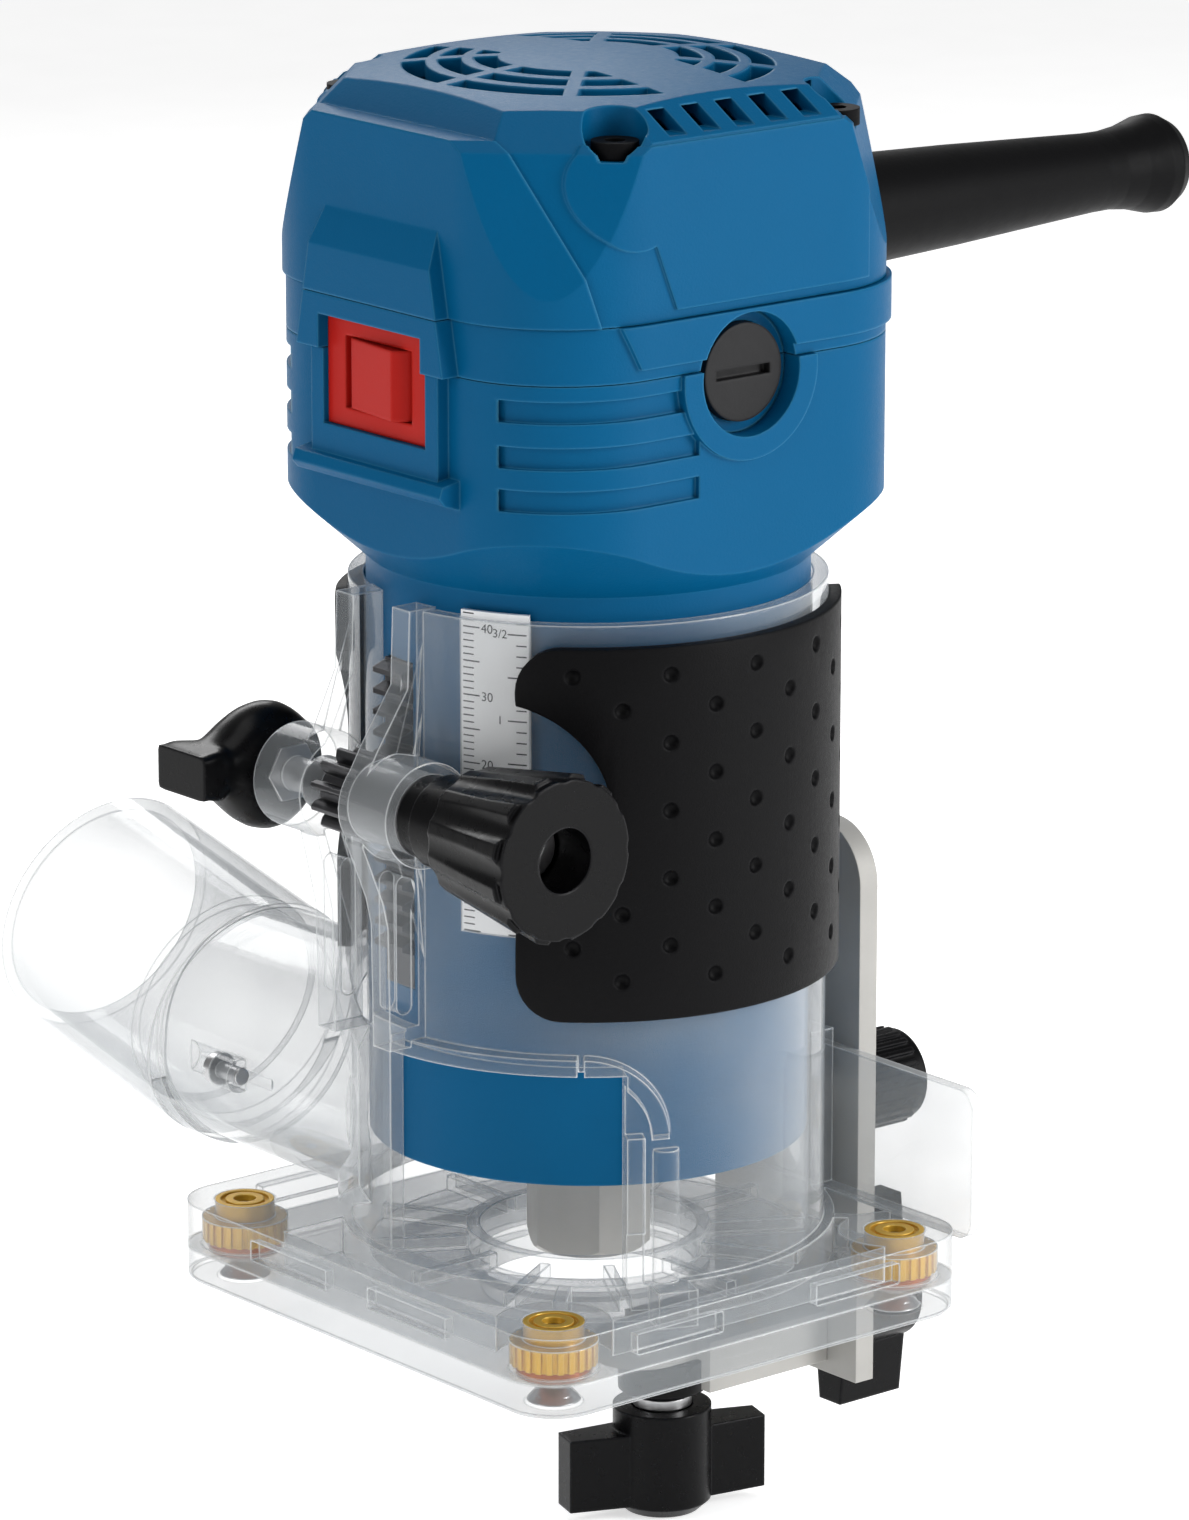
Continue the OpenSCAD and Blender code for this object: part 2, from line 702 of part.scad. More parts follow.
module fan() {
  color([0.15, 0.15, 0.16]) {
    difference() {
      union() { upright(9, 41, 51); upright(27, 41, 42.6); }
      upright(5.45, 30, 60);
    }
    for (a = [0:20:340]) rotate([0, 0, a]) translate([18, 0, 0]) rotate([0, 0, 30])
      box(-8, 8, -0.7, 0.7, 42.5, 50);
  }
}

module collet() {
  color([0.66, 0.66, 0.68]) difference() {
    union() {
      translate([0, 0, 9.3]) cylinder(r1 = 4, r2 = 5.05, h = 3.7);
      upright(5.05, 13, 21.5);
    }
    upright(shank_r, 0, 30);
    for (a = [0:60:120]) rotate([0, 0, a]) box(-8, 8, -0.35, 0.35, 0, 18);
  }
}

module collet_nut() {
  color([0.5, 0.49, 0.47]) difference() {
    intersection() {
      translate([0, 0, 7]) cylinder(r = 9.8, h = 17, $fn = 6);
      translate([0, 0, 7]) cylinder(r1 = 8.6, r2 = 25.6, h = 17);
    }
    upright(6.57, 13, 30);
    translate([0, 0, 9.1]) cylinder(r1 = 4.1, r2 = 5.3, h = 4);
    upright(4.1, 0, 12);
  }
}

// ---- depth drive ----
module depth_knob() {
  color([0.07, 0.07, 0.08]) at_pinion() difference() {
    union() {
      translate([0, -41.6, 0]) rotate([-90, 0, 0]) cylinder(r1 = knob_r, r2 = 9.6, h = 18);
      along_y(knob_r - 0.7, -42.7, -41.4);
      translate([0, -23.8, 0]) rotate([-90, 0, 0]) cylinder(r1 = 9.4, r2 = 7, h = 2.2);
      along_y(6.9, -22, -16);
      along_y(6, -16.2, -12.2);
    }
    for (a = [0:30:330]) rotate([0, a, 0]) translate([14.2, -44, 0]) rotate([-90, 0, 0])
      cylinder(r1 = 2.7, r2 = 5, h = 20.5);
    along_y(4.7, -44, -32.2);
    along_y(2.6, -40, 0);
  }
}

function inv_pt(rb, t) = rb * [cos(t) + t * PI / 180 * sin(t), sin(t) - t * PI / 180 * cos(t)];
function turn(p, a) = [p[0] * cos(a) - p[1] * sin(a), p[0] * sin(a) + p[1] * cos(a)];

module gear_2d() {
  rb = pitch_r * cos(20);
  tip = pitch_r + 0.82;
  t_tip = sqrt(pow(tip / rb, 2) - 1) * 180 / PI;
  t_pitch = sqrt(pow(pitch_r / rb, 2) - 1) * 180 / PI;
  psi = t_pitch - atan(t_pitch * PI / 180);
  half = 90 / pinion_teeth - 0.11 / pitch_r * 180 / PI;
  flank = [for (i = [0:4]) turn(inv_pt(rb, t_tip * i / 4), -half - psi)];
  circle(r = 4.25);
  for (k = [0:pinion_teeth - 1]) rotate(k * 360 / pinion_teeth)
    polygon(concat([[3.6, -0.9]], [4.3 * [cos(half + psi), -sin(half + psi)]], flank,
      [for (i = [4:-1:0]) [flank[i][0], -flank[i][1]]],
      [4.3 * [cos(half + psi), sin(half + psi)]], [[3.6, 0.9]]));
}

module pinion_gear() {
  color([0.14, 0.14, 0.15]) at_pinion() difference() {
    union() {
      translate([0, 7.6, 0]) rotate([90, 0, 0]) linear_extrude(8.3) gear_2d();
      along_y(5.95, -12.1, -0.65);
      along_y(4, 7.5, 12.2);
    }
    along_y(2.6, -20, 20);
  }
}

module clamp_lever() {
  color([0.08, 0.08, 0.09]) at_pinion() difference() {
    union() {
      rotate([-90, 0, 0]) rotate_extrude() polygon(concat([[0, 19.3], [8.7, 19.3]],
        [for (a = [-15:7.5:90]) [9.3 * cos(a), 22.4 + 9.3 * sin(a)]]));
      translate([0, 20.8, 1.2]) rotate([-90, 0, 0]) linear_extrude(10.2)
        polygon([[2, -7.4], [-4, -6.4], [-9, -3.6], [-15.4, -2.3], [-16.2, -1.6], [-16.2, 1.6],
          [-15.4, 2.3], [-9, 3.6], [-4, 6.4], [2, 7.4]]);
    }
    translate([0, 19, 0]) rotate([-90, 0, 0]) cylinder(r = 4.66, h = 6, $fn = 6);
    along_y(2.56, 18, 28.5);
  }
}

module lever_nut() {
  color([0.7, 0.7, 0.7]) at_pinion() difference() {
    translate([0, 19.4, 0]) rotate([-90, 0, 0]) cylinder(r = 4.6, h = 5.4, $fn = 6);
    along_y(2.56, 18, 28);
  }
}

// ---- roller guide ----
module guide_plate() {
  color([0.48, 0.47, 0.46]) difference() {
    union() {
      box(39.05, 42.5, -16.5, 16.5, -20, 58);
      box(39.05, 42.5, -8, 8, 50, 67);
      for (s = [-1, 1]) translate([0, s * 7.5, 58]) along_x(9, 39.05, 42.5);
    }
    box(30, 50, -3.2, 3.2, guide_screw_z - 8, guide_screw_z + 18);
    for (z = [guide_screw_z - 8, guide_screw_z + 18]) translate([0, 0, z]) along_x(3.2, 30, 50);
    box(30, 50, -3.2, 3.2, arm_z - 1, arm_z + 4.5);
    for (z = [arm_z - 1, arm_z + 4.5]) translate([0, 0, z]) along_x(3.2, 30, 50);
  }
}

module guide_arm() {
  color([0.55, 0.54, 0.52]) difference() {
    union() {
      box(15.5, 38.9, -10, 10, -18, -10);
      box(10, 16, -7, 7, -13.4, -10);
      translate([10, 0, 0]) upright(7, -13.4, -10);
    }
    box(12, 35.4, -8, 8, -30, -13.4);
    box(11, 24, -2.8, 2.8, -20, 0);
    for (x = [11, 24]) translate([x, 0, 0]) upright(2.8, -20, 0);
    box(5.5, 28, -4.7, 4.7, -11.7, 0);
    translate([0, 0, arm_z]) along_x(3.05, 30, 40);
  }
}

module wing_body(len) {
  difference() {
    union() {
      cylinder(r = 7.5, h = len);
      translate([0, 0, len]) cylinder(r1 = 7.5, r2 = 5.8, h = 1.6);
      translate([0, 0, 3.4]) linear_extrude(len - 3.4)
        polygon([[-16, -2.4], [-7, -3.4], [7, -3.4], [16, -2.4], [16, 2.4], [7, 3.4], [-7, 3.4], [-16, 2.4]]);
    }
    translate([0, 0, -0.01]) cylinder(r = 4.7, h = 2);
  }
}

module roller_nut() {
  color([0.62, 0.62, 0.6]) translate([roller_x, 0, 0]) difference() {
    box(-4.5, 4.5, -4.5, 4.5, -11.5, -9.4);
    upright(2.56, -20, 0);
  }
}

module roller_stud() {
  color([0.62, 0.62, 0.6]) translate([roller_x, 0, 0]) { upright(2.5, -34, -9.6); upright(4.5, -21.9, -20.3); }
}

module roller_wing() {
  color([0.07, 0.07, 0.08]) translate([roller_x, 0, -22]) rotate([180, 0, -17]) difference() {
    wing_body(14.8);
    cylinder(r = 2.52, h = 12.1);
  }
}

module guide_roller() {
  color([0.1, 0.1, 0.1]) translate([roller_x, 0, 0]) difference() {
    union() { upright(roller_r, -19.2, -14.4); upright(4.6, -20.1, -13.6); }
    upright(2.56, -30, 0);
  }
}

module arm_stud() {
  color([0.62, 0.62, 0.6]) translate([0, 0, arm_z]) { along_x(3, 36, 56); along_x(4.5, 42.7, 44.9); }
}

module arm_wing() {
  color([0.07, 0.07, 0.08]) translate([45, 0, arm_z]) rotate([0, 90, 0]) difference() {
    wing_body(15.6);
    cylinder(r = 3.02, h = 11.1);
  }
}

module guide_knob() {
  color([0.07, 0.07, 0.08]) translate([44.6, 0, guide_screw_z]) rotate([0, 90, 0]) difference() {
    union() {
      cylinder(r = 7, h = 17);
      translate([0, 0, 2]) for (a = [0:15:345]) rotate([0, 0, a]) translate([6.6, -0.45, 0]) cube([0.95, 0.9, 13.6]);
      translate([0, 0, 17]) cylinder(r1 = 6.6, r2 = 5.4, h = 0.9);
    }
    translate([0, 0, -0.01]) cylinder(r = 3.02, h = 12);
  }
}

module guide_knob_stud() {
  color([0.62, 0.62, 0.6]) translate([0, 0, guide_screw_z]) { along_x(3, 34.6, 56); along_x(6, 42.7, 44.5); }
}

base_sleeve();
sub_base();
corner_nuts();
seal_rings();
base_screws();
right_grip();
left_grip();
scale_plate();
dust_hood();
hood_screws();
clamp_bolt();
guide_insert();
chip_shield();
motor_housing();
housing_band();
top_cover();
cover_screws();
rack();
switch_bezel();
switch_module();
switch_rocker();
cord_sleeve();
cord_clamp();
capacitor();
bearing_bridge();
upper_bearing();
lower_bearing();
stator_core();
field_windings();
brush_holders();
carbon_brushes();
brush_springs();
brush_cap_right();
brush_cap_left();
spindle();
rotor_core();
rotor_windings();
commutator();
fan();
collet();
collet_nut();
depth_knob();
pinion_gear();
clamp_lever();
lever_nut();
guide_plate();
guide_arm();
roller_nut();
roller_wing();
roller_stud();
guide_roller();
arm_wing();
arm_stud();
guide_knob();
guide_knob_stud();
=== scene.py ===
from math import cos, pi, radians, sin

import bpy
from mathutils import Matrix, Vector


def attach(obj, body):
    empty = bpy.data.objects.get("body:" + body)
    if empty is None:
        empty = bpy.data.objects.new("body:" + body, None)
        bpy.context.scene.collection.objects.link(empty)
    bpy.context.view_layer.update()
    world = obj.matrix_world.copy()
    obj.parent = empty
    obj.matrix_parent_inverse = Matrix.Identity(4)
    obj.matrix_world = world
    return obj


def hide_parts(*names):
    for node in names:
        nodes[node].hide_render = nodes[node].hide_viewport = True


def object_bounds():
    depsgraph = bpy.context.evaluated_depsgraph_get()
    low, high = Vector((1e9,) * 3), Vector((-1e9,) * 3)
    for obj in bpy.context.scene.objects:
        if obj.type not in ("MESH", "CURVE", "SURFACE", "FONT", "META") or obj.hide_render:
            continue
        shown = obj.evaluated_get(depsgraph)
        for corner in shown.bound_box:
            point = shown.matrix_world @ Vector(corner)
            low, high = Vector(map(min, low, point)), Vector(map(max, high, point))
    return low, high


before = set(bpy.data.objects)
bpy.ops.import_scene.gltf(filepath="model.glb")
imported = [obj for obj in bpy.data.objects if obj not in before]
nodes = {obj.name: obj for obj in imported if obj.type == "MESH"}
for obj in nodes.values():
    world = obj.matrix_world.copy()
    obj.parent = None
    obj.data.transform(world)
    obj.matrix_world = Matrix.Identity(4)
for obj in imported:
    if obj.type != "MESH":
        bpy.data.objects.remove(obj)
cad_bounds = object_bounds()
scene = bpy.context.scene
scene.view_settings.view_transform = "Standard"

# ---------------------------------------------------------------- camera
# A long lens looks a little down on the corner between the switch side and
# the side with the depth knob.
turn = radians(-39.6)
tilt = radians(14.87)
distance = 1.1334
aim = Vector((0, 0, 0.0813))
away = Vector((sin(turn) * cos(tilt), -cos(turn) * cos(tilt), sin(tilt)))
eye = bpy.data.cameras.new("eye")
eye.lens = 182.69
eye.sensor_width = 36
eye.shift_x = 0.0041
eye.shift_y = -0.0006
eye.clip_end = 20
camera = bpy.data.objects.new("eye", eye)
camera.location = aim + away * distance
camera.rotation_euler = away.to_track_quat("Z", "Y").to_euler()
scene.collection.objects.link(camera)
scene.camera = camera

# ---------------------------------------------------------------- studio
# Dim white surroundings, a broad key light on the right, a narrow one on the
# left, one overhead, and one behind that draws the edges of the clear parts.
world = bpy.data.worlds.new("studio")
world.use_nodes = True
surroundings = world.node_tree.nodes["Background"]
surroundings.inputs["Color"].default_value = (1, 1, 1, 1)
surroundings.inputs["Strength"].default_value = 0.26
scene.world = world


def softbox(name, place, size, power):
    lamp = bpy.data.lights.new(name, "AREA")
    lamp.shape = "RECTANGLE"
    lamp.size, lamp.size_y = size
    lamp.energy = power
    box = bpy.data.objects.new(name, lamp)
    box.location = place
    box.rotation_euler = (Vector(place) - aim).to_track_quat("Z", "Y").to_euler()
    scene.collection.objects.link(box)


softbox("key", (0.55, -0.95, 0.45), (0.45, 0.7), 9)
softbox("left", (-1.0, 0.1, 0.45), (0.2, 0.7), 2)
softbox("top", (-0.15, -0.1, 1.1), (0.7, 0.7), 3)
softbox("rim", (0.3, 0.8, 0.6), (0.7, 0.3), 4)

floor_size = 40
floor_gap = 0.0002
bpy.ops.object.select_all(action="DESELECT")
bpy.ops.mesh.primitive_plane_add(size=floor_size, location=(0, 0, cad_bounds[0][2] - floor_gap))
floor = bpy.context.object
floor.name = "floor"


# ---------------------------------------------------------------- clear parts
# Injection moulded clear polycarbonate: the clamp base, its sole plate, the
# chip duct and the chip shield. Edges and ribs are painted white and more
# opaque as a painted highlight, and grazing faces turn more opaque in grey as
# a painted reflection.
class Wire:
    """One value in a material, with plain arithmetic between values and numbers."""

    def __init__(self, paint, socket):
        self.paint = paint
        self.socket = socket

    def __add__(self, other):
        return self.paint.math("ADD", self, other)

    def __radd__(self, other):
        return self.paint.math("ADD", other, self)

    def __sub__(self, other):
        return self.paint.math("SUBTRACT", self, other)

    def __rsub__(self, other):
        return self.paint.math("SUBTRACT", other, self)

    def __mul__(self, other):
        return self.paint.math("MULTIPLY", self, other)

    def __rmul__(self, other):
        return self.paint.math("MULTIPLY", other, self)

    def __truediv__(self, other):
        return self.paint.math("DIVIDE", self, other)


class Paint:
    """A material built up from one Principled shader; fixed values sit on its own sockets."""

    def __init__(self, name, **fixed):
        self.material = bpy.data.materials.new(name)
        self.material.use_nodes = True
        self.tree = self.material.node_tree
        self.shader = self.tree.nodes["Principled BSDF"]
        for socket, value in fixed.items():
            self.shader.inputs[socket.replace("_", " ")].default_value = value

    def add(self, kind, values, out=0, **settings):
        """Any node: its settings first, then its sockets by name or number."""
        node = self.tree.nodes.new("ShaderNode" + kind)
        for key, value in settings.items():
            setattr(node, key, value)
        for key, value in values.items():
            if isinstance(value, Wire):
                self.tree.links.new(value.socket, node.inputs[key])
            else:
                node.inputs[key].default_value = value
        return Wire(self, node.outputs[out])

    def math(self, operation, *values, clamp=False):
        return self.add("Math", dict(enumerate(values)), operation=operation, use_clamp=clamp)

    def place(self):
        return self.add("TexCoord", {}, "Object")

    def axis(self, letter):
        return self.add("SeparateXYZ", {0: self.place()}, "XYZ".index(letter))

    def grain(self, scale, detail=3.0, rough=0.5):
        values = {"Vector": self.place(), "Scale": scale, "Detail": detail, "Roughness": rough}
        return self.add("TexNoise", values)

    def blend(self, share, first, second):
        return self.add("Mix", {0: share, 6: first, 7: second}, 2, data_type="RGBA")

    def edge(self, radius, strength):
        """1 on convex and concave edges within the radius, 0 on flat faces."""
        rounded = self.add("Bevel", {"Radius": radius}, samples=8)
        true = self.add("NewGeometry", {}, "Normal")
        match = self.add("VectorMath", {0: rounded, 1: true}, "Value", operation="DOT_PRODUCT")
        return self.math("MULTIPLY", 1 - match, strength, clamp=True)

    def relief(self, height, strength, distance, radius=None):
        values = {"Height": height, "Strength": strength, "Distance": distance}
        if radius:
            values["Normal"] = self.add("Bevel", {"Radius": radius}, samples=8)
        self.to("Normal", self.add("Bump", values))

    def to(self, socket, wire):
        self.tree.links.new(wire.socket, self.shader.inputs[socket])

    def dress(self, *names):
        for name in names:
            piece = nodes[name] if isinstance(name, str) else name
            piece.data.materials.clear()
            piece.data.materials.append(self.material)


def clear_plastic(name, body, rim, shade=(0.48, 0.51, 0.53, 1)):
    """Body is the haze of a flat face; rim is how solid the painted edge highlight turns."""
    edge_radius, edge_gain, painted_edge_white = 0.0007, 2.6, (0.93, 0.95, 0.96, 1)
    painted_reflection_share, streak_share = 0.7, 0.24
    polish, polish_spread, wave_depth = 0.05, 0.06, 0.0004
    paint = Paint(name, IOR=1.58, Specular_IOR_Level=0.9)
    edge = paint.edge(edge_radius, edge_gain)
    facing = paint.add("LayerWeight", {"Blend": 0.5}, "Facing")
    streak = paint.math("POWER", paint.grain(38, 2), 3.0)
    # Edges within the bevel radius are painted near-white: a painted highlight.
    paint.to("Base Color", paint.blend(edge, shade, painted_edge_white))
    # Grazing faces turn more opaque in the grey colour: a painted reflection.
    painted_reflection = facing * facing * painted_reflection_share
    haze = streak * streak_share + body
    paint.to("Alpha", paint.math("ADD", edge * rim + painted_reflection, haze, clamp=True))
    paint.to("Roughness", polish + paint.grain(900, 2) * polish_spread)
    paint.relief(paint.grain(140, 2), 0.05, wave_depth, wave_depth)
    return paint


clear_plastic("clear_base", 0.055, 0.85).dress("base_sleeve")
clear_plastic("clear_sole", 0.09, 0.7).dress("sub_base")
clear_plastic("clear_duct", 0.11, 0.7, (0.45, 0.48, 0.5, 1)).dress("dust_hood")
clear_plastic("clear_shield", 0.14, 0.5, (0.6, 0.62, 0.62, 1)).dress("chip_shield")

# ---------------------------------------------------------------- blue housing
# Glass-filled nylon shells with a fine spark texture. Edges are a little
# polished, and painted paler as a painted highlight.
def moulded(name, deep, pale, rough, grain_scale=2600, relief=0.35, edge_gain=1.2, radius=0.0006,
            gloss=0.2):
    """Plastic or rubber: a faint cloud in its colour, painted edge highlights, a fine texture."""
    cloud_lift, rough_spread, edge_polish, texture_depth = 1.12, 0.14, 0.08, 0.00012
    paint = Paint(name, IOR=1.5, Specular_IOR_Level=gloss)
    edge = paint.edge(radius, edge_gain)
    cloud = paint.grain(45, 4)
    lifted = tuple(min(1, c * cloud_lift) for c in deep[:3]) + (1,)
    mottled = paint.blend(cloud, deep, lifted)
    # Edges blend into the paler colour: a painted highlight.
    paint.to("Base Color", paint.blend(edge, mottled, pale))
    speckle = paint.grain(grain_scale * 0.4, 2)
    paint.to("Roughness", rough + speckle * rough_spread - edge * edge_polish)
    paint.relief(paint.grain(grain_scale, 4, 0.6), relief, texture_depth, radius)
    return paint


moulded(
    "blue_nylon", (0.0003, 0.088, 0.21, 1), (0.045, 0.26, 0.46, 1), 0.34, edge_gain=1.8, gloss=0.07
).dress("motor_housing", "housing_band", "top_cover")

# ---------------------------------------------------------------- red switch
# Red nylon frame and rocker, smoother than the housing.
moulded(
    "red_nylon", (0.42, 0.012, 0.008, 1), (0.7, 0.06, 0.04, 1), 0.3, 1800, 0.12, gloss=0.1
).dress("switch_bezel", "switch_rocker")

# ---------------------------------------------------------------- black pieces
# Knobs, wing screws, clamp lever and roller are black nylon. The brush caps and
# the plastic inside are duller, and the bend sleeve of the cord is rubber.
black = moulded(
    "black_nylon", (0.002, 0.002, 0.0024, 1), (0.035, 0.035, 0.04, 1), 0.22, 1500, 0.12, gloss=0.12
)
black.dress("depth_knob", "clamp_lever", "roller_wing", "arm_wing", "guide_knob", "guide_roller")
moulded("black_inner", (0.012, 0.012, 0.013, 1), (0.05, 0.05, 0.05, 1), 0.42, 1800, 0.2).dress(
    "brush_cap_right", "brush_cap_left", "switch_module", "cord_clamp", "bearing_bridge", "fan"
)
moulded(
    "sleeve_rubber", (0.003, 0.003, 0.0034, 1), (0.02, 0.02, 0.022, 1), 0.4, 1200, 0.2, gloss=0.08
).dress("cord_sleeve")


# ---------------------------------------------------------------- grip pads
# Soft black rubber moulded over both sides of the sleeve, with rounded corners,
# a notch round the clamp and staggered finger dimples. Each pad is made flat
# and then bent round the sleeve.
def only(piece, mode="OBJECT"):
    bpy.ops.object.select_all(action="DESELECT")
    piece.select_set(True)
    bpy.context.view_layer.objects.active = piece
    if mode == "EDIT":
        bpy.ops.object.mode_set(mode="EDIT")


def carve(piece, tool):
    only(piece)
    cut = piece.modifiers.new("cut", "BOOLEAN")
    cut.operation = "DIFFERENCE"
    cut.solver = "EXACT"
    cut.object = tool
    bpy.ops.object.modifier_apply(modifier="cut")
    bpy.data.objects.remove(tool)


def round_upright_edges(piece, radius, chosen):
    only(piece, "EDIT")
    bpy.ops.mesh.select_mode(type="EDGE")
    bpy.ops.mesh.select_all(action="DESELECT")
    bpy.ops.object.mode_set(mode="OBJECT")
    points = piece.data.vertices
    for line in piece.data.edges:
        a, b = (points[i].co for i in line.vertices)
        line.select = abs(a.y - b.y) > 0.001 and (a - b).xz.length < 1e-5 and chosen(a)
    bpy.ops.object.mode_set(mode="EDIT")
    bpy.ops.mesh.bevel(offset=radius, segments=8, affect="EDGES")
    bpy.ops.object.mode_set(mode="OBJECT")


def grip_pad(name, middle, notch_side):
    """Middle is the angle the pad is centred on; notch_side is -1 or 1 along it."""
    reach, thick, tall, bend = 0.0762, 0.00185, 0.055, radians(121)
    centre_z = 0.0795
    notch_x, notch_z, notch_radius = notch_side * 0.0412, 0.0025, 0.0168
    corner_round, notch_round, lip_round = 0.0065, 0.003, 0.0006
    notch_edge_z = 0.0205
    dimple_radius, dimple_sink, dimple_bottom, dimple_pitch = 0.0013, 0.0004, 0.058, 0.010
    dimple_limit_z, dimple_clear = 0.0255, 0.0192
    strip = 0.0015
    bpy.ops.object.select_all(action="DESELECT")
    bpy.ops.mesh.primitive_cube_add(size=1)
    pad = bpy.context.object
    pad.name = name
    only(pad, "EDIT")
    bpy.ops.transform.resize(value=(reach, thick, tall))
    bpy.ops.object.mode_set(mode="OBJECT")
    bpy.ops.object.select_all(action="DESELECT")
    bpy.ops.mesh.primitive_cylinder_add(
        vertices=128, radius=notch_radius, depth=0.02, rotation=(pi / 2, 0, 0),
        location=(notch_x, 0, notch_z)
    )
    carve(pad, bpy.context.object)
    round_upright_edges(
        pad, corner_round,
        lambda p: abs(abs(p.x) - reach / 2) < 1e-4 and abs(abs(p.z) - tall / 2) < 1e-4
    )
    round_upright_edges(
        pad, notch_round,
        lambda p: abs(p.x - notch_side * reach / 2) < 1e-4 and abs(p.z) < notch_edge_z
    )
    only(pad)
    soft = pad.modifiers.new("soft", "BEVEL")
    soft.width, soft.segments = lip_round, 3
    soft.limit_method, soft.angle_limit = "ANGLE", radians(50)
    bpy.ops.object.modifier_apply(modifier="soft")
    drops = []
    for column in range(10):
        for row in range(5):
            along = radians(notch_side * (34 + column * 11 - 85.5)) * reach / bend
            height = dimple_bottom + row * dimple_pitch + (column % 2) * 0.005 - centre_z
            from_notch = Vector((along - notch_x, height - notch_z)).length
            if abs(height) > dimple_limit_z or from_notch < dimple_clear:
                continue
            spot = (along, -thick / 2 - dimple_sink, height)
            bpy.ops.object.select_all(action="DESELECT")
            bpy.ops.mesh.primitive_uv_sphere_add(
                segments=16, ring_count=8, radius=dimple_radius, location=spot
            )
            drops.append(bpy.context.object)
    for drop in drops:
        drop.select_set(True)
    bpy.ops.object.join()
    carve(pad, bpy.context.object)
    only(pad, "EDIT")
    for step in range(-25, 26):
        bpy.ops.mesh.select_all(action="SELECT")
        bpy.ops.mesh.bisect(plane_co=(step * strip, 0, 0), plane_no=(1, 0, 0))
    bpy.ops.object.mode_set(mode="OBJECT")
    curl = pad.modifiers.new("curl", "SIMPLE_DEFORM")
    curl.deform_method, curl.deform_axis, curl.angle = "BEND", "Z", bend
    bpy.ops.object.modifier_apply(modifier="curl")
    only(pad, "EDIT")
    bpy.ops.mesh.select_all(action="SELECT")
    bpy.ops.transform.translate(value=(0, -reach / bend, centre_z))
    bpy.ops.object.mode_set(mode="OBJECT")
    pad.rotation_euler = (0, 0, middle + pi / 2)
    bpy.ops.object.transform_apply(location=True, rotation=True, scale=True)
    bpy.ops.object.shade_smooth_by_angle(angle=radians(35))
    return pad


right_pad = grip_pad("right_grip_pad", radians(-85.5), -1)
left_pad = grip_pad("left_grip_pad", radians(85.5), 1)
moulded(
    "grip_rubber", (0.0035, 0.0035, 0.004, 1), (0.02, 0.02, 0.022, 1), 0.4, 3200, 0.4, gloss=0.08
).dress(right_pad, left_pad, "right_grip", "left_grip")
for pad, stand_in in ((right_pad, "right_grip"), (left_pad, "left_grip")):
    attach(pad, "base")
    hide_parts(stand_in)


# ---------------------------------------------------------------- clamp lever
# Black nylon lever in one moulding: a smooth bulb over the clamp bolt that runs
# out into a flat thumb wing. It sits on the end of the bolt.
def swept_lever(name, place):
    # distance along the wing, half width, half height, rise
    stations = [
        (0.0072, 0.0040, 0.0058, 0), (0.0028, 0.0066, 0.0106, 0), (-0.0028, 0.0066, 0.0106, 0.0002),
        (-0.0070, 0.0060, 0.0078, 0.0006), (-0.0100, 0.0056, 0.0042, 0.0011),
        (-0.0145, 0.0056, 0.0033, 0.0013), (-0.0155, 0.0056, 0.0033, 0.0013)
    ]
    bpy.ops.object.select_all(action="DESELECT")
    bpy.ops.mesh.primitive_cube_add(size=0.002)
    lever = bpy.context.object
    lever.name = name
    first = stations[0]
    half_cube = 0.001
    tip_x, wing_x = -0.0142, -0.0095
    tip_crease, wing_crease = 0.75, 0.6
    only(lever, "EDIT")
    bpy.ops.mesh.select_mode(type="FACE")
    bpy.ops.transform.resize(value=(0.4, first[1] / half_cube, first[2] / half_cube))
    bpy.ops.transform.translate(value=(first[0], 0, first[3]))
    bpy.ops.mesh.select_all(action="DESELECT")
    bpy.ops.object.mode_set(mode="OBJECT")
    for face in lever.data.polygons:
        face.select = face.normal.x < -0.9
    bpy.ops.object.mode_set(mode="EDIT")
    last = first
    for now in stations[1:]:
        bpy.ops.mesh.extrude_region_move(
            TRANSFORM_OT_translate={"value": (now[0] - last[0], 0, now[3] - last[3])}
        )
        bpy.ops.transform.resize(value=(1, now[1] / last[1], now[2] / last[2]),
                                 center_override=(now[0], 0, now[3]))
        last = now
    bpy.ops.mesh.inset(thickness=0.0006)
    bpy.ops.object.mode_set(mode="OBJECT")
    sharp = lever.data.attributes.new("crease_edge", "FLOAT", "EDGE")
    for line in lever.data.edges:
        a, b = (lever.data.vertices[i].co for i in line.vertices)
        inner_x = max(a.x, b.x)
        sharp.data[line.index].value = tip_crease if inner_x < tip_x else 0.0
        if (a - b).length > 0.003 and abs(a.x - b.x) > 0.002 and inner_x < wing_x:
            sharp.data[line.index].value = wing_crease
    smooth = lever.modifiers.new("smooth", "SUBSURF")
    smooth.levels = smooth.render_levels = 3
    bpy.ops.object.modifier_apply(modifier="smooth")
    lever.location = place
    bpy.ops.object.transform_apply(location=True, rotation=True, scale=True)
    bpy.ops.object.shade_smooth()
    return lever


lever = swept_lever("lever_moulding", (-0.0395, 0.0256, 0.082))
black.dress(lever)
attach(lever, "lever")
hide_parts("clamp_lever")


